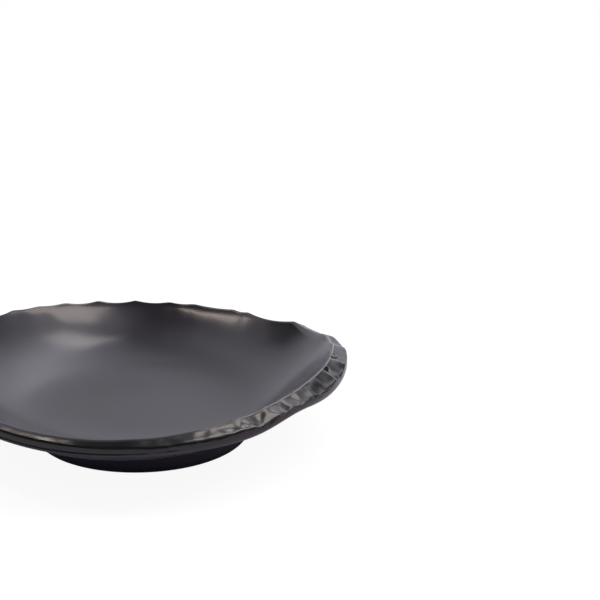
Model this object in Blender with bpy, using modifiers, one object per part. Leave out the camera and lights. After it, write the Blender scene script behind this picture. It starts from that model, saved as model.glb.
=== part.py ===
# A deep melamine plate with a knapped rim: moulded body, satin overlay and foot ring.
import math
import random

import bmesh
import bpy
from mathutils import Matrix, Vector

MM = 0.001

# Eating surface: a flat middle that runs into a wall, steeper and steeper towards the rim
FLOOR_HEIGHT = 17.0 * MM
FLOOR_RADIUS = 20.0 * MM
RIM_RADIUS = 120.4 * MM
RIM_HEIGHT = 49.5 * MM
WALL_POWER = 3.4
WALL_THICKNESS = 5.0 * MM

# Free-form outline: two flattened sides, and a rim that is higher across one diameter
WIDE_FLAT_DEPTH = 7.8 * MM
WIDE_FLAT_AT = math.radians(-36.6)
WIDE_FLAT_SPREAD = math.radians(31.0)
TIGHT_FLAT_DEPTH = 9.0 * MM
TIGHT_FLAT_AT = math.radians(42.7)
TIGHT_FLAT_SPREAD = math.radians(19.0)
RIM_WARP = 4.7 * MM
RIM_WARP_AT = math.radians(-13.8)

# Lip: the thick edge outside the crest, before it is knapped
LIP_STOCK = 1.2 * MM
LIP_OUT = 6.0 * MM
LIP_DROP = 9.3 * MM
LIP_SHOULDER_ROUND = 2.0 * MM
LIP_HEEL_ROUND = 3.0 * MM
LIP_BLEND = 17.0 * MM
LIP_WIDENS = 0.80
LIP_WIDENS_AT = math.radians(-18.0)
LIP_WIDENS_SPREAD = math.radians(40.0)
LIP_DEEPENS = 0.44
LIP_DEEPENS_AT = math.radians(-42.0)
LIP_DEEPENS_SPREAD = math.radians(34.0)
# Waves in that depth: share of it, then angle and spread in degrees
LIP_WAVES = ((0.34, -19.0, 12.0), (-0.34, -43.0, 7.0), (0.12, -61.0, 8.0))

# Knapped facets: ridges seen in the photo, in degrees, then even ones where it doesn't show
RIDGES_SEEN = (
    -127, -119, -114, -109, -95.5, -74.5, -62.5, -53, -45, -40, -34.5, -22, -13,
    2, 12, 31, 46, 57, 73, 80, 91, 103, 114, 123, 132,
)
HIDDEN_FACETS = 9
BAND_SLOPE = math.radians(38.0)
BAND_SLOPE_VARIES = math.radians(5.0)
FACET_BITE = 1.2 * MM
FACET_BITE_VARIES = 0.35 * MM
BACK_BITE = 0.7 * MM
BACK_BITE_AT = math.radians(88.0)
BACK_BITE_SPREAD = math.radians(40.0)
SCOOP_DEPTH_RADIUS = 15.0 * MM
SCOOP_CROSS_RADIUS = 16.0 * MM
LEAST_SCOOP_SAG = 0.4 * MM
CHIPS_AT = (-19, -8, 150, 196)
CHIP_RADIUS = 4.0 * MM
CHIP_BITE = 1.6 * MM
SEED = 7

# Overlay on the eating surface
OVERLAY_THICKNESS = 0.8 * MM
CLEARANCE = 0.3 * MM

# Foot ring, with a tongue that enters a groove under the body
FOOT_RADIUS = 65.8 * MM
FOOT_WIDTH = 11.0 * MM
FOOT_OUTER_ROUND = 5.0 * MM
FOOT_INNER_ROUND = 1.5 * MM
TONGUE_WIDTH = 3.0 * MM
TONGUE_HEIGHT = 1.5 * MM
FREE_FORM_MARGIN = 3.0 * MM

# Facets of the turned shapes
TURN_STEPS = 72
WALL_ROWS = 10
ARC_ROWS = 3
SCOOP_SEGMENTS = 20
SCOOP_RINGS = 12

COLLECTION_NAME = "melamine_plate"


def clear_scene():
    for obj in list(bpy.data.objects):
        bpy.data.objects.remove(obj, do_unlink=True)


def new_collection(name):
    collection = bpy.data.collections.new(name)
    bpy.context.scene.collection.children.link(collection)
    return collection


def make_material(name, colour, roughness):
    material = bpy.data.materials.new(name)
    material.use_nodes = True
    shader = material.node_tree.nodes["Principled BSDF"]
    shader.inputs["Base Color"].default_value = (*colour, 1.0)
    shader.inputs["Roughness"].default_value = roughness
    shader.inputs["Metallic"].default_value = 0.0
    return material


# Round eating surface, before the outline is made free-form
def wall_share(radius):
    return max(0.0, (radius - FLOOR_RADIUS) / (RIM_RADIUS - FLOOR_RADIUS))


def surface_height(radius):
    return FLOOR_HEIGHT + (RIM_HEIGHT - FLOOR_HEIGHT) * wall_share(radius) ** WALL_POWER


def surface_slope(radius):
    rise = (RIM_HEIGHT - FLOOR_HEIGHT) / (RIM_RADIUS - FLOOR_RADIUS)
    return WALL_POWER * rise * wall_share(radius) ** (WALL_POWER - 1.0)


def below_surface(radius, depth):
    """Point at a depth under the eating surface, measured square to it."""
    lean = math.atan(surface_slope(radius))
    return radius + depth * math.sin(lean), surface_height(radius) - depth * math.cos(lean)


def height_below_surface(radius, depth):
    """Height of the surface at that depth, straight above or below the given radius."""
    start = radius
    for _ in range(20):
        start += radius - below_surface(start, depth)[0]
    return below_surface(start, depth)[1]


# Free-form outline
def bump(angle, at, spread):
    return math.exp((math.cos(angle - at) - 1.0) / spread ** 2)


def outline_shift(angle):
    wide = WIDE_FLAT_DEPTH * bump(angle, WIDE_FLAT_AT, WIDE_FLAT_SPREAD)
    tight = TIGHT_FLAT_DEPTH * bump(angle, TIGHT_FLAT_AT, TIGHT_FLAT_SPREAD)
    return -wide - tight


def height_shift(angle):
    return RIM_WARP * math.cos(2.0 * (angle - RIM_WARP_AT))


def smooth_share(value, start, stop):
    share = min(1.0, max(0.0, (value - start) / (stop - start)))
    return share * share * (3.0 - 2.0 * share)


def lip_width_factor(angle):
    return 1.0 + LIP_WIDENS * bump(angle, LIP_WIDENS_AT, LIP_WIDENS_SPREAD)


def lip_depth_factor(angle):
    deeper = LIP_DEEPENS * bump(angle, LIP_DEEPENS_AT, LIP_DEEPENS_SPREAD)
    for share, at, spread in LIP_WAVES:
        deeper += share * bump(angle, math.radians(at), math.radians(spread))
    return 1.0 + deeper


def shape_lip(radius, height, angle):
    """Widens the lip outside the crest, and deepens it under the eating surface."""
    skin = OVERLAY_THICKNESS + CLEARANCE
    top = surface_height(min(radius, RIM_RADIUS))
    lean = math.atan(surface_slope(min(radius, RIM_RADIUS)))
    under = max(0.0, top - skin / math.cos(lean) - height)
    out = max(0.0, radius - RIM_RADIUS - LIP_STOCK)
    near_lip = smooth_share(radius, RIM_RADIUS - LIP_BLEND, RIM_RADIUS)
    wider = radius + out * (lip_width_factor(angle) - 1.0)
    lower = height - under * (lip_depth_factor(angle) - 1.0) * near_lip
    return wider, lower


def shape_free_form(mesh):
    for vertex in mesh.vertices:
        x, y, z = vertex.co
        angle = math.atan2(y, x)
        radius = math.hypot(x, y)
        share = smooth_share(radius, FOOT_RADIUS + FREE_FORM_MARGIN, RIM_RADIUS)
        radius, height = shape_lip(radius, z, angle)
        radius += share * outline_shift(angle)
        height += share * height_shift(angle)
        vertex.co = (radius * math.cos(angle), radius * math.sin(angle), height)


def crest_point(angle):
    radius = RIM_RADIUS + outline_shift(angle)
    height = RIM_HEIGHT + height_shift(angle)
    return Vector((radius * math.cos(angle), radius * math.sin(angle), height))


# Turned shapes
def turned_mesh(name, profile):
    mesh = bpy.data.meshes.new(name + "_profile")
    edges = [(i, i + 1) for i in range(len(profile) - 1)]
    mesh.from_pydata([(r, 0.0, z) for r, z in profile], edges, [])
    turner = bpy.data.objects.new(name + "_turner", mesh)
    bpy.context.scene.collection.objects.link(turner)
    screw = turner.modifiers.new("turn", "SCREW")
    screw.axis = "Z"
    screw.steps = TURN_STEPS
    screw.render_steps = TURN_STEPS
    screw.use_merge_vertices = True
    screw.merge_threshold = 0.00001
    bpy.context.view_layer.update()
    graph = bpy.context.evaluated_depsgraph_get()
    turned = bpy.data.meshes.new_from_object(turner.evaluated_get(graph))
    turned.name = name
    bpy.data.objects.remove(turner, do_unlink=True)
    return turned


def add_part(name, mesh, material, collection, holder):
    mesh.materials.clear()
    mesh.materials.append(material)
    part = bpy.data.objects.new(name, mesh)
    part.parent = holder
    collection.objects.link(part)
    return part


def arc(centre, radius, start, stop):
    steps = [start + (stop - start) * i / ARC_ROWS for i in range(ARC_ROWS + 1)]
    return [(centre[0] + radius * math.cos(a), centre[1] + radius * math.sin(a)) for a in steps]


def wall_radii(last):
    return [FLOOR_RADIUS + (last - FLOOR_RADIUS) * i / WALL_ROWS for i in range(WALL_ROWS + 1)]


# Radii that the foot ring and the body's underside share
def foot_inner():
    return FOOT_RADIUS - FOOT_WIDTH


def tongue_edges(spare):
    middle = FOOT_RADIUS - 0.5 * FOOT_WIDTH
    half = 0.5 * TONGUE_WIDTH + spare
    return middle - half, middle + half


def seat_height(radius):
    return height_below_surface(radius, WALL_THICKNESS)


def lip_outline():
    """Shoulder and heel of the lip, then an underside that meets the wall's without a break."""
    corner = RIM_RADIUS + LIP_STOCK
    edge = RIM_RADIUS + LIP_OUT
    shoulder_x = edge - LIP_SHOULDER_ROUND
    start_x = shoulder_x + LIP_SHOULDER_ROUND * math.sin(BAND_SLOPE)
    start_z = surface_height(corner) - (start_x - corner) * math.tan(BAND_SLOPE)
    shoulder_z = start_z - LIP_SHOULDER_ROUND * math.cos(BAND_SLOPE)
    shoulder = arc((shoulder_x, shoulder_z), LIP_SHOULDER_ROUND, 0.5 * math.pi - BAND_SLOPE, 0.0)
    bottom = RIM_HEIGHT - LIP_DROP
    heel = arc((edge - LIP_HEEL_ROUND, bottom + LIP_HEEL_ROUND), LIP_HEEL_ROUND, 0.0, -0.5 * math.pi)
    start = heel[-1]
    stop = (RIM_RADIUS - LIP_BLEND, seat_height(RIM_RADIUS - LIP_BLEND))
    bend = (stop[0] + (bottom - stop[1]) / surface_slope(stop[0]), bottom)
    blend = []
    for i in range(1, ARC_ROWS + 1):
        t = i / ARC_ROWS
        weights = ((1.0 - t) ** 2, 2.0 * t * (1.0 - t), t ** 2)
        blend.append(tuple(sum(w * p[k] for w, p in zip(weights, (start, bend, stop))) for k in (0, 1)))
    return shoulder + heel + blend


def body_profile():
    top_depth = OVERLAY_THICKNESS + CLEARANCE
    inner = [below_surface(r, top_depth) for r in wall_radii(RIM_RADIUS + LIP_STOCK)]
    wall_from = RIM_RADIUS - LIP_BLEND
    wall_to = FOOT_RADIUS + FREE_FORM_MARGIN
    rows = WALL_ROWS // 2
    radii = [wall_from + (wall_to - wall_from) * i / rows for i in range(1, rows + 1)]
    under = [(r, seat_height(r)) for r in radii]
    near, far = tongue_edges(CLEARANCE)
    groove_top = seat_height(near) + TONGUE_HEIGHT + CLEARANCE
    seat = [(FOOT_RADIUS, seat_height(FOOT_RADIUS))]
    seat += [(far, seat_height(far)), (far, groove_top), (near, groove_top), (near, seat_height(near))]
    middle = 0.5 * (foot_inner() + FLOOR_RADIUS)
    seat += [(foot_inner(), seat_height(foot_inner())), (middle, seat_height(middle))]
    floor_under = FLOOR_HEIGHT - WALL_THICKNESS
    return ([(0.0, FLOOR_HEIGHT - top_depth)] + inner + lip_outline() + under + seat
            + [(FLOOR_RADIUS, floor_under), (0.0, floor_under)])


def overlay_profile():
    radii = wall_radii(RIM_RADIUS + LIP_STOCK)
    top = [below_surface(r, 0.0) for r in radii]
    back = [below_surface(r, OVERLAY_THICKNESS) for r in reversed(radii)]
    return [(0.0, FLOOR_HEIGHT)] + top + back + [(0.0, FLOOR_HEIGHT - OVERLAY_THICKNESS)]


def foot_profile():
    near, far = tongue_edges(0.0)
    tongue_top = seat_height(near) + TONGUE_HEIGHT - CLEARANCE
    corner = seat_height(FOOT_RADIUS) - CLEARANCE
    outer = arc((FOOT_RADIUS - FOOT_OUTER_ROUND, FOOT_OUTER_ROUND), FOOT_OUTER_ROUND, 0.0, -0.5 * math.pi)
    inner = arc((foot_inner() + FOOT_INNER_ROUND, FOOT_INNER_ROUND), FOOT_INNER_ROUND,
                -0.5 * math.pi, -math.pi)
    top = [(foot_inner(), seat_height(foot_inner()) - CLEARANCE), (near, seat_height(near) - CLEARANCE)]
    top += [(near, tongue_top), (far, tongue_top), (far, seat_height(far) - CLEARANCE)]
    loop = [(FOOT_RADIUS, corner)] + outer + inner + top
    return loop + [loop[0]]


# Cutters that knap the rim
def facet_ridges():
    seen = [math.radians(r) for r in RIDGES_SEEN]
    first = seen[0] + 2.0 * math.pi
    step = (first - seen[-1]) / HIDDEN_FACETS
    return seen + [seen[-1] + step * (i + 1) for i in range(HIDDEN_FACETS)]


def band_axes(angle, slope):
    """Along the rim, up the band and out of the band, at an angle round the plate."""
    small = 0.001
    along = (crest_point(angle + small) - crest_point(angle - small)).normalized()
    out = Vector((math.cos(angle), math.sin(angle), 0.0))
    normal = math.sin(slope) * out + math.cos(slope) * Vector((0.0, 0.0, 1.0))
    normal = (normal - normal.dot(along) * along).normalized()
    return along, normal.cross(along), normal


def add_scoop(name, place, axes, radii, collection, holder):
    mesh = bpy.data.meshes.new(name)
    shape = bmesh.new()
    bmesh.ops.create_uvsphere(shape, u_segments=SCOOP_SEGMENTS, v_segments=SCOOP_RINGS, radius=1.0)
    columns = [axis * size for axis, size in zip(axes, radii)]
    turn = Matrix(columns).transposed().to_4x4()
    shape.transform(Matrix.Translation(place) @ turn)
    shape.to_mesh(mesh)
    shape.free()
    scoop = bpy.data.objects.new(name, mesh)
    scoop.parent = holder
    scoop.hide_render = True
    scoop.display_type = "WIRE"
    collection.objects.link(scoop)


def local_slope(angle):
    return math.atan(math.tan(BAND_SLOPE) * lip_depth_factor(angle) / lip_width_factor(angle))


def add_facet_scoops(collection, holder):
    pick = random.Random(SEED)
    ridges = facet_ridges()
    for number, (start, stop) in enumerate(zip(ridges, ridges[1:]), 1):
        angle = 0.5 * (start + stop)
        half_width = 0.5 * (stop - start) * RIM_RADIUS
        slope = local_slope(angle) + BAND_SLOPE_VARIES * pick.uniform(-1.0, 1.0)
        bite = FACET_BITE + BACK_BITE * bump(angle, BACK_BITE_AT, BACK_BITE_SPREAD)
        bite += FACET_BITE_VARIES * pick.uniform(-1.0, 1.0)
        rim_sag = math.sin(slope) * half_width ** 2 / (2.0 * RIM_RADIUS)
        sag = max(LEAST_SCOOP_SAG, bite - rim_sag)
        reach = half_width / math.sqrt(1.0 - (1.0 - sag / SCOOP_DEPTH_RADIUS) ** 2)
        widening = lip_width_factor(angle)
        axes = band_axes(angle, slope)
        middle = crest_point(angle) - 0.5 * LIP_OUT * widening * axes[1] - 0.5 * bite * axes[2]
        place = middle + SCOOP_DEPTH_RADIUS * axes[2]
        radii = (reach, SCOOP_CROSS_RADIUS * widening, SCOOP_DEPTH_RADIUS)
        add_scoop(f"facet_scoop_{number}", place, axes, radii, collection, holder)


def add_chip_scoops(collection, holder):
    for number, degrees in enumerate(CHIPS_AT, 1):
        angle = math.radians(degrees)
        axes = band_axes(angle, local_slope(angle))
        middle = crest_point(angle) - 0.5 * CHIP_RADIUS * axes[1]
        place = middle + (CHIP_RADIUS - CHIP_BITE) * axes[2]
        radii = (CHIP_RADIUS, CHIP_RADIUS, CHIP_RADIUS)
        add_scoop(f"chip_scoop_{number}", place, axes, radii, collection, holder)


def knap(part, scoops):
    cut = part.modifiers.new("knapped rim", "BOOLEAN")
    cut.operation = "DIFFERENCE"
    cut.solver = "EXACT"
    cut.operand_type = "COLLECTION"
    cut.collection = scoops


def centre_on_origin(holder, body):
    """Puts the middle of the finished outline over the origin."""
    bpy.context.view_layer.update()
    graph = bpy.context.evaluated_depsgraph_get()
    corners = [Vector(corner) for corner in body.evaluated_get(graph).bound_box]
    middle_x = 0.5 * (min(c.x for c in corners) + max(c.x for c in corners))
    middle_y = 0.5 * (min(c.y for c in corners) + max(c.y for c in corners))
    holder.location = (-middle_x, -middle_y, 0.0)
    bpy.context.view_layer.update()


def main():
    clear_scene()
    parts = new_collection(COLLECTION_NAME)
    scoops = new_collection(COLLECTION_NAME + "_cutters")
    holder = bpy.data.objects.new("plate_axis", None)
    parts.objects.link(holder)

    gloss = make_material("moulded melamine, glossy charcoal", (0.040, 0.040, 0.043), 0.25)
    satin = make_material("melamine overlay, satin grey", (0.090, 0.088, 0.100), 0.45)
    matt = make_material("moulded melamine, matt black", (0.006, 0.006, 0.007), 0.60)

    add_facet_scoops(scoops, holder)
    add_chip_scoops(scoops, holder)

    body_mesh = turned_mesh("plate_body", body_profile())
    shape_free_form(body_mesh)
    body = add_part("plate_body", body_mesh, gloss, parts, holder)
    knap(body, scoops)

    overlay_mesh = turned_mesh("well_overlay", overlay_profile())
    shape_free_form(overlay_mesh)
    overlay = add_part("well_overlay", overlay_mesh, satin, parts, holder)
    knap(overlay, scoops)

    foot_mesh = turned_mesh("foot_ring", foot_profile())
    add_part("foot_ring", foot_mesh, matt, parts, holder)

    centre_on_origin(holder, body)


main()
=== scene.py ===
# Deep melamine plate with a knapped rim: fine shape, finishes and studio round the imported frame
import math
import random

import bpy
import numpy as np
from mathutils import Matrix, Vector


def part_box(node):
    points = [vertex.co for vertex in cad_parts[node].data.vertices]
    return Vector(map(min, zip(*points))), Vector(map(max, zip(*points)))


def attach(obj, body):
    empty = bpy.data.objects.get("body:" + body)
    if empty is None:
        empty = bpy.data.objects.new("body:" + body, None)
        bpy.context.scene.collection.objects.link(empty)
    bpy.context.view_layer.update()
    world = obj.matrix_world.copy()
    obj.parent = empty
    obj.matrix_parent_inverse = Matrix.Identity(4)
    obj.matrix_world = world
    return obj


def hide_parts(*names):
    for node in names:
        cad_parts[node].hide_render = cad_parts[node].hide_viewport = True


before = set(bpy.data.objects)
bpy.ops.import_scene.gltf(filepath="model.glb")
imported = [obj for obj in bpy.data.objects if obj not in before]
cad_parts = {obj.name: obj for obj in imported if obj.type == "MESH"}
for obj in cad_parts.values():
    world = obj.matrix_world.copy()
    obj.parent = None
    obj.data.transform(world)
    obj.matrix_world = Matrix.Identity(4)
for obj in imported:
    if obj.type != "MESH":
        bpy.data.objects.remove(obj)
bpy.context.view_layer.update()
mm = 0.001

# The part's driving sizes in mm and degrees, repeated from its source
plate = {
    "floorHeight": 17.0,
    "floorRadius": 20.0,
    "rimRadius": 120.4,
    "rimHeight": 49.5,
    "wallPower": 3.4,
    "wallThickness": 5.0,
    "overlayThickness": 0.8,
    "clearance": 0.3,
    "flats": ((7.8, -36.6, 31.0), (9.0, 42.7, 19.0)),  # depth, angle and spread of two flattened sides
    "rimWarp": 4.7,
    "rimWarpAt": -13.8,
    "freeFormFrom": 68.8,
    "columns": 960,
    "underSteps": 20,  # steps of the search for a height under the wall
}
lip = {
    "stock": 1.2,
    "out": 6.0,
    "drop": 9.3,
    "shoulderRound": 2.0,
    "heelRound": 3.0,
    "blend": 17.0,
    "widens": (0.80, -18.0, 40.0),  # share, angle and spread
    "deepens": ((0.44, -42.0, 34.0), (0.34, -19.0, 12.0), (-0.34, -43.0, 7.0), (0.12, -61.0, 8.0)),
}
knapping = {
    "ridges": (-127, -119, -114, -109, -95.5, -74.5, -62.5, -53, -45, -40, -34.5, -22, -13,
               2, 12, 31, 52, 57, 73, 80, 91, 103, 114, 123, 132),
    "hiddenFacets": 9,
    "slope": 38.0,
    "slopeVaries": 5.0,
    "flatter": (7.0, -15.0, 14.0),  # degrees less at the right, so that the outer wall shows there
    "bite": 1.2,
    "biteVaries": 0.35,
    "backBite": (0.7, 88.0, 40.0),  # deeper at the back, where the crest shows its scallops
    "readBites": {12: 2.8, 31: 3.5, 52: 0.7, 57: 1.1, 73: 0.6, 80: 1.3,
                  103: 1.3, 114: 0.5, 123: 0.5},  # instead, for the facets that follow these ridges
    "depthRadius": 15.0,
    "crossRadius": 16.0,
    "leastSag": 0.4,
    "chipsAt": (-19, -8, 150, 196),
    "chipRadius": 4.0,
    "chipBite": 1.6,
    "chipInset": 0.5,  # times the radius, down from the crest
    "seed": 7,
    "pits": ((-9.0, 2.5, 2.9), (-19.0, 2.6, 2.3)),  # angle, radius and bite of two small flakes at the crest
    "pitLength": 1.6,  # times the radius, along the rim
    "pitInset": 0.75,
    "pitEdge": 0.3,  # mm of depth over which a flake's mark comes in
    "missed": -50.0,  # depth where a blow doesn't reach
    "softness": 0.35,  # mm over which two facets run into each other
    "largestPower": 60.0,
    "crisp": (0.60, -6.0, 22.0),  # share of it that goes at the right, where the ridges show
    "worn": (2.3, -85.0, 38.0),  # share that it grows by at the front, where the facets are worn together
    "rolled": (2.5, 12.0, 8.0),  # share that it grows by where the rim rolls over at the back right
    "even": (0.25, 0.055, -122.0, 26.0),  # depth in mm and fall that the cut evens out to at the front left
    "struckFrom": (0.1, 0.5),  # mm of cut between the plain wall's finish and the gloss
    "ridgeWidth": 0.13,  # mm of depth between two facets that still counts as their ridge
    "lumpSizes": (12.0, 8.0, 5.5),  # mm
    "lumpHeights": (0.10, 0.07, 0.02),
    "lumpSeed": 51,
    "lumpWaves": 14,
    "lumpSpread": (0.7, 1.3),
    "calm": (0.85, -115.0, 30.0),  # share of the lumps that goes at the front left
    "rough": (1.1, -42.0, 20.0),  # share that the lumps grow by at the front right
}

footLow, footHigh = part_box("foot_ring")
axisX = 0.5 * (footLow.x + footHigh.x) / mm
axisY = 0.5 * (footLow.y + footHigh.y) / mm
angles = np.arange(plate["columns"]) * 2.0 * math.pi / plate["columns"]


# A soft hump round the rim: e to the power of the cosine of the angle from its middle, less one,
# over its spread squared
def bump(angle, at, spread):
    return np.exp((np.cos(angle - math.radians(at)) - 1.0) / math.radians(spread) ** 2)


# What is left round the rim when a hump's share is taken away
def lessBump(angle, share, at, spread):
    return 1.0 - share * bump(angle, at, spread)


# The round outline less a hump for each flattened side
def outlineShift(angle):
    (wide, wideAt, wideSpread), (tight, tightAt, tightSpread) = plate["flats"]
    return -wide * bump(angle, wideAt, wideSpread) - tight * bump(angle, tightAt, tightSpread)


# The rim goes up and down twice round: the cosine of twice the angle
def heightShift(angle):
    return plate["rimWarp"] * np.cos(2.0 * (angle - math.radians(plate["rimWarpAt"])))


# One plus a hump at the right
def lipWidth(angle):
    share, at, spread = lip["widens"]
    return 1.0 + share * bump(angle, at, spread)


# One plus the humps of the waves in the lip's lower edge
def lipDepth(angle):
    return 1.0 + sum(share * bump(angle, at, spread) for share, at, spread in lip["deepens"])


# Zero at the start, one at the stop, three x squared less two x cubed between them
def easeShare(value, start, stop):
    share = np.clip((value - start) / (stop - start), 0.0, 1.0)
    return share * share * (3.0 - 2.0 * share)


# Share of the wall's run: none on the floor, one at the rim
def wallShare(radius):
    return np.maximum(0.0, (radius - plate["floorRadius"]) / (plate["rimRadius"] - plate["floorRadius"]))


# Flat floor, then a wall that rises with a power of that share
def wallHeight(radius):
    rise = plate["rimHeight"] - plate["floorHeight"]
    return plate["floorHeight"] + rise * wallShare(radius) ** plate["wallPower"]


# Its lean from the level: the arctangent of that height's rate of rise
def wallLean(radius):
    rise = (plate["rimHeight"] - plate["floorHeight"]) / (plate["rimRadius"] - plate["floorRadius"])
    return np.arctan(plate["wallPower"] * rise * wallShare(radius) ** (plate["wallPower"] - 1.0))


# Point under the eating surface, square to it
def underWall(radius, depth):
    lean = wallLean(radius)
    return radius + depth * np.sin(lean), wallHeight(radius) - depth * np.cos(lean)


# The same surface straight above or below a radius, found by stepping the start inwards
def heightUnderWall(radius, depth):
    start = np.asarray(radius, float)
    for _ in range(plate["underSteps"]):
        start = start + radius - underWall(start, depth)[0]
    return underWall(start, depth)[1]


# Wider outside the crest and deeper under the eating surface, by the lip's two shares
def shapeLip(radius, height, angle):
    inside = np.minimum(radius, plate["rimRadius"])
    skinDepth = plate["overlayThickness"] + plate["clearance"]
    under = np.maximum(0.0, wallHeight(inside) - skinDepth / np.cos(wallLean(inside)) - height)
    out = np.maximum(0.0, radius - plate["rimRadius"] - lip["stock"])
    nearLip = easeShare(radius, plate["rimRadius"] - lip["blend"], plate["rimRadius"])
    return radius + out * (lipWidth(angle) - 1.0), height - under * (lipDepth(angle) - 1.0) * nearLip


# Turned section to finished section: the rim's flats and warp come in with an eased share of the radius
def freeForm(radius, height, angle):
    share = easeShare(radius, plate["freeFormFrom"], plate["rimRadius"])
    newRadius, newHeight = shapeLip(radius, height, angle)
    return newRadius + share * outlineShift(angle), newHeight + share * heightShift(angle)


# Section points to space: turned round the plate's axis
def toSpace(radius, height, angle):
    return np.stack([radius * np.cos(angle), radius * np.sin(angle), height + 0.0 * angle], axis=-1)


# The crest before any blow: the rim's radius and height with their shifts
def crestPoint(angle):
    return toSpace(plate["rimRadius"] + outlineShift(angle), plate["rimHeight"] + heightShift(angle), angle)


def unit(vector):
    return vector / np.linalg.norm(vector, axis=-1, keepdims=True)


# Along the rim, up the band and out of the band
def bandAxes(angle, slope):
    small = 0.001
    along = unit(crestPoint(angle + small) - crestPoint(angle - small))
    normal = toSpace(np.sin(slope), np.cos(slope), angle)
    normal = unit(normal - np.dot(normal, along) * along)
    return np.stack([along, np.cross(normal, along), normal])


# The band is steeper where the lip is deeper and flatter where it is wider: tangent times depth over width
def localSlope(angle):
    return np.arctan(math.tan(math.radians(knapping["slope"])) * lipDepth(angle) / lipWidth(angle))


# Angles of all ridges: those that show, then even steps round the hidden side
def ridgeAngles():
    seen = np.radians(np.array(knapping["ridges"], float))
    step = (seen[0] + 2.0 * math.pi - seen[-1]) / knapping["hiddenFacets"]
    return np.concatenate([seen, seen[-1] + step * np.arange(1, knapping["hiddenFacets"] + 1)])


# One ellipsoid for each blow that took a flake off the rim: middle, three axes and three radii
def knappedScoops():
    pick = random.Random(knapping["seed"])
    ridges = ridgeAngles()
    scoops = []
    for start, stop in zip(ridges, ridges[1:]):
        angle = 0.5 * (start + stop)
        halfWidth = 0.5 * (stop - start) * plate["rimRadius"]
        slope = localSlope(angle) + math.radians(knapping["slopeVaries"]) * pick.uniform(-1.0, 1.0)
        less, lessAt, lessSpread = knapping["flatter"]
        slope = slope - math.radians(less) * bump(angle, lessAt, lessSpread)
        deeper, deeperAt, deeperSpread = knapping["backBite"]
        bite = knapping["bite"] + deeper * bump(angle, deeperAt, deeperSpread)
        bite += knapping["biteVaries"] * pick.uniform(-1.0, 1.0)
        bite = knapping["readBites"].get(round(math.degrees(start)), bite)
        sag = max(knapping["leastSag"], bite - np.sin(slope) * halfWidth ** 2 / (2.0 * plate["rimRadius"]))
        reach = halfWidth / math.sqrt(1.0 - (1.0 - sag / knapping["depthRadius"]) ** 2)
        axes = bandAxes(angle, slope)
        middle = crestPoint(angle) - 0.5 * lip["out"] * lipWidth(angle) * axes[1] - 0.5 * bite * axes[2]
        radii = (reach, knapping["crossRadius"] * lipWidth(angle), knapping["depthRadius"])
        scoops.append((middle + knapping["depthRadius"] * axes[2], axes, radii))
    small = [(degrees, knapping["chipRadius"], knapping["chipBite"], knapping["chipInset"], 1.0)
             for degrees in knapping["chipsAt"]]
    small += [pit + (knapping["pitInset"], knapping["pitLength"]) for pit in knapping["pits"]]
    for degrees, size, bite, inset, length in small:
        angle = math.radians(degrees)
        axes = bandAxes(angle, localSlope(angle))
        middle = crestPoint(angle) - inset * size * axes[1] + (size - bite) * axes[2]
        scoops.append((middle, axes, (length * size, size, size)))
    return [np.array(column) for column in zip(*scoops)]


scoopMiddles, scoopAxes, scoopRadii = knappedScoops()
print("scoops:", len(scoopMiddles))

# Corner of the uncut stock, and the chamfer that runs from it to the shoulder, in each column's section
cornerRadius = plate["rimRadius"] + lip["stock"]
chamferSlope = math.radians(knapping["slope"])
shoulderMiddle = plate["rimRadius"] + lip["out"] - lip["shoulderRound"]
chamferEnd = shoulderMiddle + lip["shoulderRound"] * math.sin(chamferSlope)
chamferEndHeight = wallHeight(cornerRadius) - (chamferEnd - cornerRadius) * math.tan(chamferSlope)
shoulderHeight = chamferEndHeight - lip["shoulderRound"] * math.cos(chamferSlope)
cornerR, cornerZ = freeForm(cornerRadius, wallHeight(cornerRadius), angles)
endR, endZ = freeForm(chamferEnd, chamferEndHeight, angles)
chamferLength = np.hypot(endR - cornerR, endZ - cornerZ)
downR = (endR - cornerR) / chamferLength
downZ = (endZ - cornerZ) / chamferLength
bandNormal = toSpace(-downZ, downR, angles)


# How far below each point, against the band's normal, each ellipsoid's far side lies: the larger root
# of a quadratic
def scoopDepths(points):
    start = np.einsum("...kj,kij->...ki", points[..., None, :] - scoopMiddles, scoopAxes) / scoopRadii
    travel = np.einsum("...j,kij->...ki", bandNormal, scoopAxes) / scoopRadii
    a = np.sum(travel * travel, axis=-1)
    b = np.sum(start * travel, axis=-1)
    c = np.sum(start * start, axis=-1) - 1.0
    inside = b * b - a * c
    return np.where(inside > 0.0, (b + np.sqrt(np.maximum(inside, 0.0))) / a, knapping["missed"])


# Deepest cut, with facets run together over a softness: softness times the log of the summed powers of e.
# At the front left they are worn away, to a depth that grows evenly down the band
def cutDepth(points):
    soft = lessBump(angles, *knapping["crisp"])
    for share, at, spread in (knapping["worn"], knapping["rolled"]):
        soft = soft + share * bump(angles, at, spread)
    soft = knapping["softness"] * soft
    depths = scoopDepths(points)
    powers = np.exp(np.minimum(depths / soft[:, None], knapping["largestPower"]))
    cut = soft * np.log1p(np.sum(powers, axis=-1))
    along = np.sum((points - toSpace(cornerR, cornerZ, angles)) * toSpace(downR, downZ, angles), axis=-1)
    depth, fall, at, spread = knapping["even"]
    return cut + (depth + fall * along - cut) * bump(angles, at, spread), depths


# Smooth random lumps: a sum of sine waves of about one length in random directions
def lumps(points, size, seed):
    pick = np.random.RandomState(seed)
    count = knapping["lumpWaves"]
    ways = unit(pick.normal(size=(count, 3)))
    waves = ways * 2.0 * math.pi / size * pick.uniform(*knapping["lumpSpread"], size=(count, 1))
    phases = pick.uniform(0.0, 2.0 * math.pi, size=count)
    return np.sum(np.sin(points @ waves.T + phases), axis=-1) / math.sqrt(0.5 * count)


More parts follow.
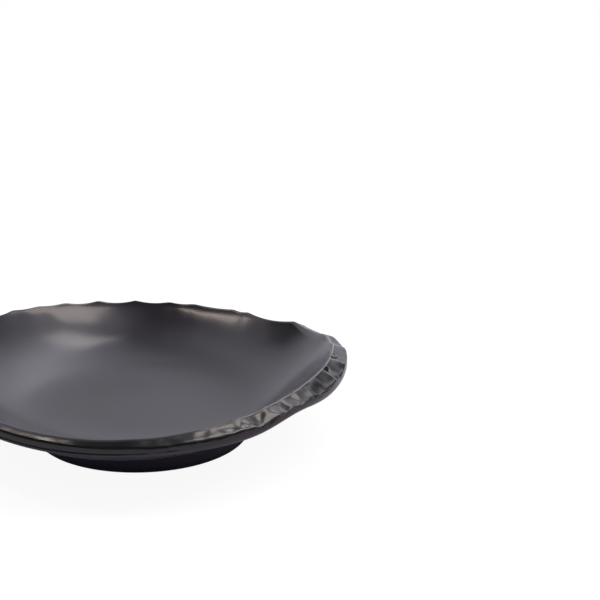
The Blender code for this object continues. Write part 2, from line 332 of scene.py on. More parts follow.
# Band surface: chamfer point, pushed in along the band's normal by the deepest cut
def bandSection(along):
    flatR = cornerR + along * downR
    flatZ = cornerZ + along * downZ
    cut = cutDepth(toSpace(flatR, flatZ, angles))[0]
    return flatR + cut * downZ, flatZ - cut * downR


well = {
    "floorRows": 6,
    "wallRows": 64,
    "crowding": 1.5,  # rows draw together towards the crest
    "edgeEase": 0.7,  # mm of wall and of band that the crest's rounding takes, less where the rim is crisp
    "wornEase": 1.2,  # more of it at the front, where the rim is worn
    "leastEase": 0.2,
    "rolls": ((3.4, 14.0, 9.0), (1.9, -128.0, 24.0)),  # more, in mm, at the back right and the front left
    "edgeRows": 6,
    "edgeFade": 4,  # power of the way over the rounding with which the painted highlight along the crest comes in
    "cutEdgeWidth": 0.15,  # mm past the rounding
    "cutEdgeRows": 3,
    "backStops": 5.0,  # mm below the crest
    "backRows": 16,
    "fluteDepth": 0.13,
    "fluteRun": (17.0, 1.0),  # mm below the crest where flutes start and are full
    "fluteFullAt": 9.0,  # mm of half a facet; narrower facets have shallower flutes
    "waveSize": 24.0,  # mm; faint waves that the press leaves in the wall
    "waveDepth": 0.05,
    "waveSeed": 17,
    "lift": (0.5, 4.5, 112.0, 44.0),  # mm that the wall turns up at the back, over how many, angle, spread
    "crestReach": 7.0,  # mm inside the rim where the search for the crest starts
    "crestHalvings": 26,
}


# Shallow flute in the wall under each facet: half of one plus the cosine of the place across it
def facetFlutes():
    ridges = ridgeAngles()
    turned = ridges[0] + np.mod(angles - ridges[0], 2.0 * math.pi)
    facet = np.clip(np.searchsorted(ridges, turned, side="right") - 1, 0, len(ridges) - 2)
    half = 0.5 * (ridges[facet + 1] - ridges[facet])
    across = (turned - ridges[facet] - half) / half
    full = np.minimum(1.0, half * plate["rimRadius"] / well["fluteFullAt"])
    return 0.5 * (1.0 + np.cos(math.pi * across)) * full


fluteShape = facetFlutes()
edgeEase = well["leastEase"] + well["edgeEase"] * lessBump(angles, *knapping["crisp"])
edgeEase = edgeEase + well["wornEase"] * bump(angles, *knapping["worn"][1:])
edgeEase = edgeEase + sum(size * bump(angles, at, spread) for size, at, spread in well["rolls"])


# Eating surface with its flutes and waves, or a surface at a depth under it, in each column's section.
# At the back it turns up to the crest with the cube of the share of the last few mm
def wallSection(radius, depth=0.0):
    rim = plate["rimRadius"]
    start, full = well["fluteRun"]
    flute = well["fluteDepth"] * fluteShape * easeShare(radius, rim - start, rim - full)
    wave = well["waveDepth"] * lumps(toSpace(radius, 0.0, angles), well["waveSize"], well["waveSeed"])
    wave = wave * easeShare(radius, plate["freeFormFrom"], rim)
    size, run, at, spread = well["lift"]
    lift = size * bump(angles, at, spread) * np.maximum(0.0, (radius - rim + run) / run) ** 3
    return freeForm(*underWall(radius, depth + flute + wave - lift), angles)


# Crest: where the wall meets the band, found in all columns at once by halving
def findCrest():
    low = np.full(angles.shape, plate["rimRadius"] - well["crestReach"])
    high = np.full(angles.shape, cornerRadius)
    for _ in range(well["crestHalvings"]):
        middle = 0.5 * (low + high)
        r, z = wallSection(middle)
        along = (r - cornerR) * downR + (z - cornerZ) * downZ
        below = (r - cornerR) * downZ + (cornerZ - z) * downR
        cut = cutDepth(toSpace(cornerR + along * downR, cornerZ + along * downZ, angles))[0]
        covered = below > cut
        low = np.where(covered, middle, low)
        high = np.where(covered, high, middle)
    r, z = wallSection(low)
    return low, (r - cornerR) * downR + (z - cornerZ) * downZ


crestRadius, crestAlong = findCrest()
print("crest: radius", crestRadius.min().round(2), crestRadius.max().round(2),
      "along", crestAlong.min().round(2), crestAlong.max().round(2))


# Rows of section points to a closed skin: quads between rows, and a fan at each pole
def skin(name, rows, firstPole=None, lastPole=None):
    points = np.concatenate([row.reshape(-1, 3) for row in rows])
    rowCount = len(rows)
    columnCount = len(rows[0])
    index = np.arange(rowCount * columnCount).reshape(rowCount, columnCount)
    around = np.roll(index, -1, axis=1)
    faces = np.stack([index[:-1], index[1:], around[1:], around[:-1]], axis=-1).reshape(-1, 4).tolist()
    if firstPole is None:
        faces += np.stack([index[-1], index[0], around[0], around[-1]], axis=-1).tolist()
    else:
        top = np.full(columnCount, len(points))
        bottom = top + 1
        points = np.concatenate([points, [firstPole, lastPole]])
        faces += np.stack([top, index[0], around[0]], axis=-1).tolist()
        faces += np.stack([index[-1], bottom, around[-1]], axis=-1).tolist()
    mesh = bpy.data.meshes.new(name)
    place = (points + np.array([axisX, axisY, 0.0])) * mm
    mesh.from_pydata(place.tolist(), [], faces)
    mesh.polygons.foreach_set("use_smooth", np.ones(len(mesh.polygons), bool))
    mesh.update()
    piece = bpy.data.objects.new(name, mesh)
    bpy.context.scene.collection.objects.link(piece)
    print("piece", name, len(mesh.vertices), "points", len(mesh.polygons), "faces")
    return piece


# A number for each point, kept on the mesh for the materials; poles get zero
def paint(piece, name, rows):
    values = np.concatenate([np.broadcast_to(row, angles.shape) for row in rows])
    values = np.concatenate([values, np.zeros(len(piece.data.vertices) - len(values))])
    layer = piece.data.attributes.new(name, "FLOAT", "POINT")
    layer.data.foreach_set("value", values.astype(np.float32))


def turnedRow(radius, height):
    return toSpace(np.full(angles.shape, float(radius)), height, angles)


# Overlay: floor, wall, crest, cut edge along the band, and the back at the overlay's thickness.
# The crest is rounded by a curve of the second power from wall to band that the sharp crest draws out
def overlayRows():
    rows = []
    for number in range(1, well["floorRows"] + 1):
        radius = plate["floorRadius"] * number / well["floorRows"]
        rows.append(turnedRow(radius, wallHeight(radius)))
    last = crestRadius - edgeEase
    for number in range(1, well["wallRows"] + 1):
        share = 1.0 - (1.0 - number / well["wallRows"]) ** well["crowding"]
        radius = plate["floorRadius"] + (last - plate["floorRadius"]) * share
        rows.append(toSpace(*wallSection(radius), angles))
    # Painted highlight along the crest, at the right only: none on the wall, coming in over the rounding,
    # full on the cut edge
    edge = [0.0] * len(rows)
    shows = bump(angles, *knapping["crisp"][1:])
    start = toSpace(*wallSection(last), angles)
    corner = toSpace(*wallSection(crestRadius), angles)
    stop = toSpace(*bandSection(crestAlong + edgeEase), angles)
    for number in range(1, well["edgeRows"] + 1):
        t = number / well["edgeRows"]
        rows.append((1.0 - t) ** 2 * start + 2.0 * t * (1.0 - t) * corner + t ** 2 * stop)
        edge.append(t ** well["edgeFade"] * shows)
    for number in range(1, well["cutEdgeRows"] + 1):
        reach = edgeEase + well["cutEdgeWidth"] * number / well["cutEdgeRows"]
        rows.append(toSpace(*bandSection(crestAlong + reach), angles))
        edge.append(shows)
    outer = crestRadius - well["backStops"]
    for number in range(well["backRows"] + 1):
        radius = outer - (outer - plate["floorRadius"]) * number / well["backRows"]
        rows.append(toSpace(*wallSection(radius, plate["overlayThickness"]), angles))
    return rows, edge + [0.0] * (well["backRows"] + 1)


rows, edge = overlayRows()
overlay = skin("wellOverlay", rows, (0.0, 0.0, plate["floorHeight"]),
               (0.0, 0.0, plate["floorHeight"] - plate["overlayThickness"]))
# Mask of the painted highlight along the crest
paint(overlay, "crestHighlight", edge)

body = {
    "topStops": 6.4,  # mm below the crest
    "topRows": 16,
    "bandRows": 30,
    "shoulderRows": 8,
    "wallRows": 4,
    "heelRows": 8,
    "blendRows": 8,
    "underRows": 9,
    "middleRows": 4,
    "seam": 0.04,  # mm between the overlay's cut edge and the band
}
foot = {
    "radius": 65.8,
    "width": 11.0,
    "outerRound": 5.0,
    "innerRound": 1.5,
    "tongueWidth": 3.0,
    "tongueHeight": 1.5,
    "topStops": 0.5,  # mm inside the outer wall
    "topRound": ((0.15, 0.05), (0.0, 0.3)),  # mm in and down from the top's outer corner
    "wallRow": 7.5,  # height of one more row in the outer wall
    "roundRows": 14,
    "columns": 480,
}


# Points on an arc: its middle plus its size times the cosine and the sine of the turn, without the first
def arcPoints(middleR, middleZ, size, start, stop, count):
    turn = start + (stop - start) * np.arange(1, count + 1) / count
    return list(zip(middleR + size * np.cos(turn), middleZ + size * np.sin(turn)))


# Underside of the shell, where the foot ring sits
def seatHeight(radius):
    return float(heightUnderWall(radius, plate["wallThickness"]))


def tongueEdges(spare):
    middle = foot["radius"] - 0.5 * foot["width"]
    half = 0.5 * foot["tongueWidth"] + spare
    return middle - half, middle + half


# Cut depth and lumps push a section in along the band's normal; the two deepest cuts mark the ridges, which
# carry a painted highlight at the right
def knappedRow(flatR, flatZ):
    points = toSpace(flatR, flatZ, angles)
    cut, depths = cutDepth(points)
    ordered = np.sort(np.concatenate([depths, np.zeros(depths.shape[:-1] + (1,))], axis=-1), axis=-1)
    ridge = np.exp(-((ordered[..., -1] - ordered[..., -2]) / knapping["ridgeWidth"]) ** 2)
    struck = easeShare(cut, *knapping["struckFrom"])
    rough = sum(high * lumps(points, size, knapping["lumpSeed"] + order) for order, (size, high)
                in enumerate(zip(knapping["lumpSizes"], knapping["lumpHeights"])))
    share, at, spread = knapping["rough"]
    rough = rough * struck * lessBump(angles, *knapping["calm"]) * (1.0 + share * bump(angles, at, spread))
    count = len(knapping["pits"])
    deeper = np.max(depths[:, -count:], axis=-1) - np.max(depths[:, :-count], axis=-1)
    pit = easeShare(deeper, 0.0, knapping["pitEdge"])
    # Ridge mark for a painted highlight: only at the right, where the ridges catch the lamps, and not in the
    # flakes
    ridge = ridge * bump(angles, *knapping["crisp"][1:]) * (1.0 - pit)
    return points - (cut + rough * (1.0 - pit))[:, None] * bandNormal, struck, ridge, pit


# Body: hidden top, knapped band, shoulder, outer wall, heel, underside with the groove, and the flat
# under the floor. The heel runs into the underside by a curve of the second power
def bodyRows():
    skinDepth = plate["overlayThickness"] + plate["clearance"]
    above = [turnedRow(0.5 * plate["floorRadius"], plate["floorHeight"] - skinDepth)]
    outer = crestRadius - body["topStops"]
    for number in range(body["topRows"] + 1):
        radius = plate["floorRadius"] + (outer - plate["floorRadius"]) * number / body["topRows"]
        above.append(toSpace(*wallSection(radius, skinDepth), angles))
    first = crestAlong + edgeEase + well["cutEdgeWidth"] + body["seam"]
    sections = []
    for number in range(body["bandRows"] + 1):
        along = first + (chamferLength - first) * number / body["bandRows"]
        sections.append((cornerR + along * downR, cornerZ + along * downZ))
    edgeR = plate["rimRadius"] + lip["out"]
    bottom = plate["rimHeight"] - lip["drop"]
    heelTop = bottom + lip["heelRound"]
    turned = arcPoints(shoulderMiddle, shoulderHeight, lip["shoulderRound"],
                       0.5 * math.pi - chamferSlope, 0.0, body["shoulderRows"])
    for number in range(1, body["wallRows"] + 1):
        turned.append((edgeR, shoulderHeight + (heelTop - shoulderHeight) * number / body["wallRows"]))
    sections += [freeForm(r, z, angles) for r, z in turned]
    band = [knappedRow(flatR, flatZ) for flatR, flatZ in sections]
    heelR = edgeR - lip["heelRound"]
    under = arcPoints(heelR, heelTop, lip["heelRound"], 0.0, -0.5 * math.pi, body["heelRows"])
    stopR = plate["rimRadius"] - lip["blend"]
    stopZ = seatHeight(stopR)
    bendR = stopR + (bottom - stopZ) / math.tan(wallLean(stopR))
    t = np.arange(1, body["blendRows"] + 1) / body["blendRows"]
    under += list(zip((1 - t) ** 2 * heelR + 2 * t * (1 - t) * bendR + t ** 2 * stopR,
                      (1 - t) ** 2 * bottom + 2 * t * (1 - t) * bottom + t ** 2 * stopZ))
    plain = stopR + (plate["freeFormFrom"] - stopR) * np.arange(1, body["underRows"] + 1) / body["underRows"]
    under += [(r, seatHeight(r)) for r in plain]
    near, far = tongueEdges(plate["clearance"])
    grooveTop = seatHeight(near) + foot["tongueHeight"] + plate["clearance"]
    under += [(foot["radius"], seatHeight(foot["radius"])), (far, seatHeight(far)), (far, grooveTop),
              (near, grooveTop), (near, seatHeight(near))]
    inner = foot["radius"] - foot["width"]
    middle = inner + (plate["floorRadius"] - inner) * np.arange(body["middleRows"] + 1) / body["middleRows"]
    under += [(r, seatHeight(r)) for r in middle]
    under.append((0.5 * plate["floorRadius"], plate["floorHeight"] - plate["wallThickness"]))
    below = [toSpace(*freeForm(r, z, angles), angles) for r, z in under]
    marks = [[0.0] * len(above) + [row[place] for row in band] + [0.0] * len(below) for place in (1, 2, 3)]
    return above + [row[0] for row in band] + below, marks


rows, (struck, ridge, pit) = bodyRows()
shell = skin("plateBody", rows,
             (0.0, 0.0, plate["floorHeight"] - plate["overlayThickness"] - plate["clearance"]),
             (0.0, 0.0, plate["floorHeight"] - plate["wallThickness"]))
paint(shell, "struck", struck)
paint(shell, "ridge", ridge)
paint(shell, "pit", pit)
# Painted sheen: warm spots over the struck band, fewer at the front left
paint(shell, "sheenMottle", [row * lessBump(angles, *knapping["calm"]) for row in struck])


# Foot ring: outer wall, two rounded base corners, inner wall, and a top with the tongue
def footRows():
    gap = plate["clearance"]
    outer = foot["radius"]
    inner = outer - foot["width"]
    near, far = tongueEdges(0.0)
    tongueTop = seatHeight(near) + foot["tongueHeight"] - gap
    topEnd = outer - foot["topStops"]
    profile = [(topEnd, seatHeight(topEnd) - gap)]
    profile += [(outer - side, seatHeight(outer) - gap - drop) for side, drop in foot["topRound"]]
    profile += [(outer, foot["wallRow"]), (outer, foot["outerRound"])]
    profile += arcPoints(outer - foot["outerRound"], foot["outerRound"], foot["outerRound"],
                         0.0, -0.5 * math.pi, foot["roundRows"])
    profile.append((inner + foot["innerRound"], 0.0))
    profile += arcPoints(inner + foot["innerRound"], foot["innerRound"], foot["innerRound"],
                         -0.5 * math.pi, -math.pi, foot["roundRows"] // 2)
    profile += [(inner, seatHeight(inner) - gap), (near, seatHeight(near) - gap), (near, tongueTop),
                (far, tongueTop), (far, seatHeight(far) - gap)]
    turn = np.arange(foot["columns"]) * 2.0 * math.pi / foot["columns"]
    return [toSpace(np.full(turn.shape, r), z, turn) for r, z in profile]


ring = skin("footRing", footRows())

for piece, node, slot in ((overlay, "well_overlay", "satin_melamine"),
                          (shell, "plate_body", "gloss_melamine"),
                          (ring, "foot_ring", "matt_melamine")):
    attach(piece, "root")
    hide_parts(node)
print("pieces ride on the frame")


# sRGB hex to linear
def colour(code):
    parts = [int(code[i:i + 2], 16) / 255.0 for i in (1, 3, 5)]
    return tuple(p / 12.92 if p <= 0.04045 else ((p + 0.055) / 1.055) ** 2.4 for p in parts) + (1.0,)


# One node with its settings; a value that is a socket becomes a link
def addNode(tree, kind, inputs=(), **settings):
    node = tree.nodes.new(kind)
    for name, value in settings.items():
        setattr(node, name, value)
    for name, value in dict(inputs).items():
        if isinstance(value, bpy.types.NodeSocket):
            tree.links.new(value, node.inputs[name])
        else:
            node.inputs[name].default_value = value
    return node


def newMaterial(name):
    material = bpy.data.materials.new(name)
    material.use_nodes = True
    tree = material.node_tree
    tree.nodes.clear()
    return material, tree


def perMm(size):
    return 1.0 / (size * mm)


# Sockets of a mix of two colours
mixShare, mixFirst, mixSecond, mixResult = 0, 6, 7, 2

# Pressed melamine overlay, satin: dark grey with a violet cast, soft cloud in the tone, a fine press texture,
# and a painted highlight: a light line along the crest's rounding and cut edge, at the right
satin = {
    "tones": ("#242328", "#2b2a30"),
    "toneRange": (0.35, 0.70),  # of the cloud's noise
    # painted highlight colour along the crest
    "edge": "#a8a5a3",
    "cloudSize": 70.0,  # mm
    "cloudDetail": 3.0,
    "cloudRoughness": 0.5,
    "pressSize": 1.4,  # mm; drawn coarser than the real press grain so that it shows
    "pressDetail": 2.0,
    "roughness": (0.17, 0.20),
    "bump": 0.02,
    "bumpHeight": 0.2,  # mm
    "ior": 1.52,
}


def satinMelamine():
    material, tree = newMaterial("melamine overlay, pressed satin")
    where = addNode(tree, "ShaderNodeTexCoord").outputs["Object"]
    cloud = addNode(tree, "ShaderNodeTexNoise", {
        "Vector": where, "Scale": perMm(satin["cloudSize"]), "Detail": satin["cloudDetail"],
        "Roughness": satin["cloudRoughness"]})
    tone = addNode(tree, "ShaderNodeValToRGB", {"Fac": cloud.outputs["Fac"]})
    for stop, place, code in zip(tone.color_ramp.elements, satin["toneRange"], satin["tones"]):
        stop.position = place
        stop.color = colour(code)
    # Painted highlight: a light line along the crest
    crestHighlightMask = addNode(tree, "ShaderNodeAttribute", attribute_name="crestHighlight")
    base = addNode(tree, "ShaderNodeMix", {
        mixShare: crestHighlightMask.outputs["Fac"], mixFirst: tone.outputs["Color"],
        mixSecond: colour(satin["edge"])}, data_type="RGBA")
    press = addNode(tree, "ShaderNodeTexNoise", {
        "Vector": where, "Scale": perMm(satin["pressSize"]), "Detail": satin["pressDetail"]})
    sheen = addNode(tree, "ShaderNodeMapRange", {
        "Value": press.outputs["Fac"], "To Min": satin["roughness"][0], "To Max": satin["roughness"][1]})
    grain = addNode(tree, "ShaderNodeBump", {
        "Height": press.outputs["Fac"], "Strength": satin["bump"], "Distance": satin["bumpHeight"] * mm})
    shader = addNode(tree, "ShaderNodeBsdfPrincipled", {
        "Base Color": base.outputs[mixResult], "IOR": satin["ior"], "Roughness": sheen.outputs["Result"],
        "Normal": grain.outputs["Normal"]})
    addNode(tree, "ShaderNodeOutputMaterial", {"Surface": shader.outputs["BSDF"]})
    return material


# Moulded melamine: black gloss where flakes were struck off the rim, which mirrors the softboxes, with a
# faint painted sheen of warm spots standing in for their reflection; pale painted highlight along the ridges
# at the right, painted shade in the small flakes (less shine, more roughness), and satin charcoal on the
# outer wall
knapped = {
    "stone": "#101210",
    # painted sheen: warm spots in the gloss that stand in for the softboxes' reflection
    "sheenPatch": "#35312b",
    "patchSize": 7.0,  # mm
    "patchDetail": 3.0,
    "patchRoughness": 0.55,
    "patchDistortion": 0.6,
    "patchRange": (0.50, 0.66),  # of its noise, from none to full
    "clusterSize": 45.0,  # mm
    "clusterDetail": 1.0,
    "clusterRange": (0.42, 0.58),
    # painted highlight: pale colour along the ridges, standing in for the lamps' glints
    "worn": "#aaa69f",
    "ridgeGlintShare": 0.7,
    "wall": "#1d1925",
    "glossRoughness": 0.17,
    "wallRoughness": 0.20,
    "pitRoughness": 0.5,  # more of it in the small flakes at the crest
    "pitPaintedShade": 0.40,  # and less shine: painted shade, darkening the small flakes as a recess darkens
    "shine": 0.5,
    "grainSize": 1.1,  # mm
    "grainDetail": 2.0,
    "bump": 0.05,
    "bumpHeight": 0.2,  # mm
    "ior": 1.52,
}


def knappedMelamine():
    material, tree = newMaterial("moulded melamine, knapped gloss and satin wall")
    where = addNode(tree, "ShaderNodeTexCoord").outputs["Object"]
    struckMask, ridgeGlintMask, sheenMottleMask, pitMask = [
        addNode(tree, "ShaderNodeAttribute", attribute_name=name).outputs["Fac"]
        for name in ("struck", "ridge", "sheenMottle", "pit")]
    sheenPatch = addNode(tree, "ShaderNodeTexNoise", {
        "Vector": where, "Scale": perMm(knapped["patchSize"]), "Detail": knapped["patchDetail"],
        "Roughness": knapped["patchRoughness"], "Distortion": knapped["patchDistortion"]})
    cluster = addNode(tree, "ShaderNodeTexNoise", {
        "Vector": where, "Scale": perMm(knapped["clusterSize"]), "Detail": knapped["clusterDetail"]})
    # Painted sheen: warm spots where both noises and the struck band allow
    shown = sheenMottleMask
    for noise, limits in ((sheenPatch, knapped["patchRange"]), (cluster, knapped["clusterRange"])):
        ramp = addNode(tree, "ShaderNodeValToRGB", {"Fac": noise.outputs["Fac"]})
        for stop, place in zip(ramp.color_ramp.elements, limits):
            stop.position = place
        shown = addNode(tree, "ShaderNodeMath", {0: shown, 1: ramp.outputs["Color"]},
                        operation="MULTIPLY").outputs[0]
    stone = addNode(tree, "ShaderNodeMix", {
        mixShare: shown, mixFirst: colour(knapped["stone"]), mixSecond: colour(knapped["sheenPatch"])},
        data_type="RGBA")
    # Painted highlight: pale along the ridges at the right
    worn = addNode(tree, "ShaderNodeMath", {0: ridgeGlintMask, 1: knapped["ridgeGlintShare"]}, operation="MULTIPLY")
    edged = addNode(tree, "ShaderNodeMix", {
        mixShare: worn.outputs[0], mixFirst: stone.outputs[mixResult], mixSecond: colour(knapped["worn"])},
        data_type="RGBA")
    base = addNode(tree, "ShaderNodeMix", {
        mixShare: struckMask, mixFirst: colour(knapped["wall"]), mixSecond: edged.outputs[mixResult]},
        data_type="RGBA")
    gloss = addNode(tree, "ShaderNodeMapRange", {
        "Value": struckMask, "To Min": knapped["wallRoughness"], "To Max": knapped["glossRoughness"]})
    dull = addNode(tree, "ShaderNodeMath", {
        0: pitMask, 1: knapped["pitRoughness"], 2: gloss.outputs["Result"]}, operation="MULTIPLY_ADD")
    # Painted shade: less shine in the small flakes
    shine = addNode(tree, "ShaderNodeMath", {
        0: pitMask, 1: -knapped["pitPaintedShade"], 2: knapped["shine"]}, operation="MULTIPLY_ADD")
    noise = addNode(tree, "ShaderNodeTexNoise", {
        "Vector": where, "Scale": perMm(knapped["grainSize"]), "Detail": knapped["grainDetail"]})
    grain = addNode(tree, "ShaderNodeBump", {
        "Height": noise.outputs["Fac"], "Strength": knapped["bump"], "Distance": knapped["bumpHeight"] * mm})
    shader = addNode(tree, "ShaderNodeBsdfPrincipled", {
        "Base Color": base.outputs[mixResult], "IOR": knapped["ior"], "Roughness": dull.outputs[0],
        "Specular IOR Level": shine.outputs[0], "Normal": grain.outputs["Normal"]})
    addNode(tree, "ShaderNodeOutputMaterial", {"Surface": shader.outputs["BSDF"]})
    return material


# Moulded melamine, matt black: blasted mould face, even and without gloss
matt = {
    "black": "#1b1925",
    "rubbed": "#22202d",
    "grainSize": 1.6,  # mm
    "grainDetail": 3.0,
    "roughness": (0.55, 0.65),
    "bump": 0.06,
    "bumpHeight": 0.2,  # mm
    "ior": 1.5,
}


def mattMelamine():
    material, tree = newMaterial("moulded melamine, matt black")
    where = addNode(tree, "ShaderNodeTexCoord").outputs["Object"]
    noise = addNode(tree, "ShaderNodeTexNoise", {
        "Vector": where, "Scale": perMm(matt["grainSize"]), "Detail": matt["grainDetail"]})
    base = addNode(tree, "ShaderNodeMix", {
        mixShare: noise.outputs["Fac"], mixFirst: colour(matt["black"]), mixSecond: colour(matt["rubbed"])},
        data_type="RGBA")
    rough = addNode(tree, "ShaderNodeMapRange", {
        "Value": noise.outputs["Fac"], "To Min": matt["roughness"][0], "To Max": matt["roughness"][1]})
    grain = addNode(tree, "ShaderNodeBump", {
        "Height": noise.outputs["Fac"], "Strength": matt["bump"], "Distance": matt["bumpHeight"] * mm})
    shader = addNode(tree, "ShaderNodeBsdfPrincipled", {
        "Base Color": base.outputs[mixResult], "IOR": matt["ior"], "Roughness": rough.outputs["Result"],
        "Normal": grain.outputs["Normal"]})
    addNode(tree, "ShaderNodeOutputMaterial", {"Surface": shader.outputs["BSDF"]})
    return material


overlay.data.materials.append(satinMelamine())
shell.data.materials.append(knappedMelamine())
ring.data.materials.append(mattMelamine())
print("materials made")

studio = {
    "lens": 120.0,
    "sensor": 36.0,
    "clipEnd": 100.0,  # m
    "cameraOffset": (0.0, -1143.09, 459.52),  # mm from the foot of the plate's axis
    "yaw": 4.834,  # degrees to the right
    "pitch": -18.166,
    "lampDistance": 1.5,  # m
    "lampAim": 30.0,  # mm above the foot of the axis
    # Where it stands and which way its long side runs, both as seen from above; length and width in m,
    # radiance, colour
    "lamps": (
        ((0.606, -0.086), (1.0, 0.0), 1.17, 0.60, 4.1, "#ffeee2"),
        ((0.302, 0.388), (0.899, -0.438), 0.483, 0.267, 3.15, "#fffaf6"),
        ((-0.556, 0.030), (-0.54, 0.842), 1.08, 0.03, 30.0, "#ffeee2"),
    ),
    "fill": 0.42,  # world strength on the object
    "fillColour": "#f4f3ff",
    "ceiling": 0.11,  # in reflections: dark overhead
    "horizon": (-0.10, 0.35),  # heights between which the ceiling comes in
    "sweep": (0.76, 0.50, 1.17),  # and a paler backdrop behind: strength, where it starts and is full
    # Soft cards in reflections: middle and reach as seen from above, strength; the last one is dark
    "cards": (
        ((0.980, 0.000), (0.340, 0.650), 0.90),
        ((0.458, -0.020), (0.575, 0.850), 1.76),
        ((0.326, 0.567), (0.378, 0.445), 2.40),
        ((-0.490, 0.510), (0.720, 0.770), 0.99),
        ((0.150, 0.770), (0.250, 0.260), 0.95),
        ((-0.755, 0.720), (0.146, 0.520), -2.80),
    ),
    "floorSize": 16.0,  # m
    "floorColour": "#f4f3fc",
    "floorGlow": 0.92,  # to the camera
    "floorShade": 0.16,  # share of light that the camera sees on top of it, so that the shadow stays
}


def makeCamera():
    lens = bpy.data.cameras.new("camera")
    lens.lens = studio["lens"]
    lens.sensor_width = studio["sensor"]
    lens.clip_end = studio["clipEnd"]
    camera = bpy.data.objects.new("camera", lens)
    dx, dy, dz = studio["cameraOffset"]
    camera.location = ((axisX + dx) * mm, (axisY + dy) * mm, dz * mm)
    camera.rotation_euler = (math.radians(90.0 + studio["pitch"]), 0.0, -math.radians(studio["yaw"]))
    bpy.context.scene.collection.objects.link(camera)
    bpy.context.scene.camera = camera


# Softboxes on a dome round the plate, each turned to face it with its long side along the given way
def makeLamps():
    for number, (spot, run, length, width, radiance, tint) in enumerate(studio["lamps"], 1):
        way = np.array([spot[0], spot[1], math.sqrt(1.0 - spot[0] ** 2 - spot[1] ** 2)])
        longSide = unit(np.array([run[0], run[1], -(run[0] * way[0] + run[1] * way[1]) / way[2]]))
        lamp = bpy.data.lights.new(f"softbox{number}", "AREA")
        lamp.shape = "RECTANGLE"
        lamp.size = length
        lamp.size_y = width
        lamp.energy = radiance * math.pi * length * width
        lamp.color = colour(tint)[:3]
        holder = bpy.data.objects.new(lamp.name, lamp)
        holder.location = way * studio["lampDistance"] + np.array([axisX, axisY, studio["lampAim"]]) * mm
        turn = Matrix(np.stack([longSide, np.cross(way, longSide), way], axis=1).tolist())
        holder.rotation_euler = turn.to_euler()
        bpy.context.scene.collection.objects.link(holder)


# Pale floor: matt white under the lamps; to the camera it glows up to white, and keeps the shadow
def makeFloor():
    half = 0.5 * studio["floorSize"]
    corners = [(-half, -half, 0.0), (half, -half, 0.0), (half, half, 0.0), (-half, half, 0.0)]
    mesh = bpy.data.meshes.new("floor")
    mesh.from_pydata(corners, [], [(0, 1, 2, 3)])
    floor = bpy.data.objects.new("floor", mesh)
    bpy.context.scene.collection.objects.link(floor)
    material, tree = newMaterial("pale studio floor")
    path = addNode(tree, "ShaderNodeLightPath")
    straight = addNode(tree, "ShaderNodeMath", {
        0: path.outputs["Is Camera Ray"], 1: path.outputs["Is Transmission Ray"]}, operation="MAXIMUM")
    plain = addNode(tree, "ShaderNodeBsdfDiffuse", {"Color": colour(studio["floorColour"])})
    thin = addNode(tree, "ShaderNodeBsdfDiffuse", {"Color": (studio["floorShade"],) * 3 + (1.0,)})
    light = addNode(tree, "ShaderNodeEmission", {"Strength": studio["floorGlow"]})
    white = addNode(tree, "ShaderNodeAddShader", {0: thin.outputs[0], 1: light.outputs[0]})
    both = addNode(tree, "ShaderNodeMixShader", {
        0: straight.outputs[0], 1: plain.outputs[0], 2: white.outputs[0]})
    addNode(tree, "ShaderNodeOutputMaterial", {"Surface": both.outputs[0]})
    mesh.materials.append(material)


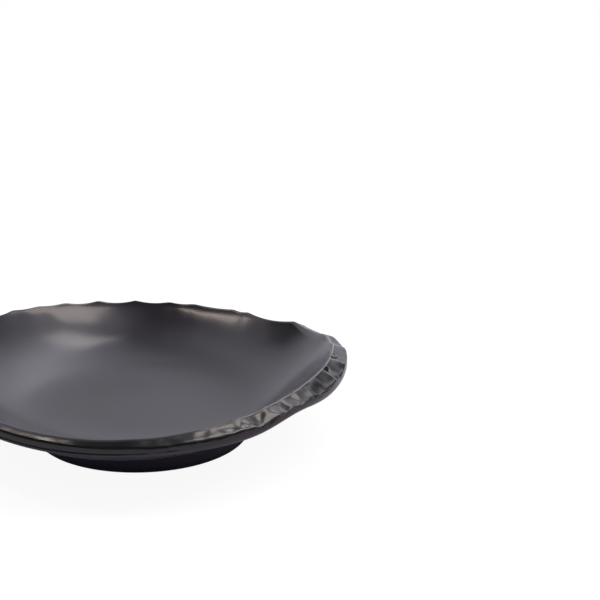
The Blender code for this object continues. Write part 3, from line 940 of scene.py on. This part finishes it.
# World: white to the camera; in reflections a dark ceiling, a paler sweep behind and soft cards, each of
# which fades with the length of the way less its middle, over its reach; an even fill on the object
def makeWorld():
    world = bpy.data.worlds.new("studio")
    bpy.context.scene.world = world
    world.use_nodes = True
    tree = world.node_tree
    tree.nodes.clear()
    path = addNode(tree, "ShaderNodeLightPath")
    where = addNode(tree, "ShaderNodeTexCoord").outputs["Generated"]
    part = addNode(tree, "ShaderNodeSeparateXYZ", {"Vector": where})
    strength, start, full = studio["sweep"]
    behind = addNode(tree, "ShaderNodeMapRange", {
        "Value": part.outputs["Y"], "From Min": start, "From Max": full, "To Min": 0.0, "To Max": strength},
        interpolation_type="SMOOTHSTEP")
    low, high = studio["horizon"]
    overhead = addNode(tree, "ShaderNodeMapRange", {
        "Value": part.outputs["Z"], "From Min": low, "From Max": high, "To Min": 0.0,
        "To Max": studio["ceiling"]}, interpolation_type="SMOOTHSTEP")
    level = addNode(tree, "ShaderNodeMath", {
        0: behind.outputs["Result"], 1: overhead.outputs["Result"]}, operation="ADD")
    for (middleX, middleY), (reachX, reachY), strength in studio["cards"]:
        placed = addNode(tree, "ShaderNodeVectorMath", {
            0: where, 1: (1.0 / reachX, 1.0 / reachY, 0.0), 2: (-middleX / reachX, -middleY / reachY, 0.0)},
            operation="MULTIPLY_ADD")
        away = addNode(tree, "ShaderNodeVectorMath", {0: placed.outputs["Vector"]}, operation="LENGTH")
        card = addNode(tree, "ShaderNodeMapRange", {
            "Value": away.outputs["Value"], "To Min": strength, "To Max": 0.0},
            interpolation_type="SMOOTHSTEP")
        level = addNode(tree, "ShaderNodeMath", {
            0: level.outputs[0], 1: card.outputs["Result"]}, operation="ADD")
    mirrored = addNode(tree, "ShaderNodeMath", {0: level.outputs[0], 1: 0.0}, operation="MAXIMUM")
    glossy = addNode(tree, "ShaderNodeMath", {
        0: path.outputs["Is Glossy Ray"], 1: mirrored.outputs[0]}, operation="MULTIPLY")
    diffuse = addNode(tree, "ShaderNodeMath", {
        0: path.outputs["Is Diffuse Ray"], 1: studio["fill"]}, operation="MULTIPLY")
    lit = addNode(tree, "ShaderNodeMath", {0: glossy.outputs[0], 1: diffuse.outputs[0]}, operation="MAXIMUM")
    straight = addNode(tree, "ShaderNodeMath", {
        0: path.outputs["Is Camera Ray"], 1: path.outputs["Is Transmission Ray"]}, operation="MAXIMUM")
    fill = addNode(tree, "ShaderNodeBackground", {
        "Color": colour(studio["fillColour"]), "Strength": lit.outputs[0]})
    white = addNode(tree, "ShaderNodeBackground", {
        "Color": (1.0, 1.0, 1.0, 1.0), "Strength": straight.outputs[0]})
    sky = addNode(tree, "ShaderNodeAddShader", {0: fill.outputs[0], 1: white.outputs[0]})
    addNode(tree, "ShaderNodeOutputWorld", {"Surface": sky.outputs[0]})


makeCamera()
makeLamps()
makeFloor()
makeWorld()
bpy.context.scene.view_settings.view_transform = "Standard"
print("studio made")
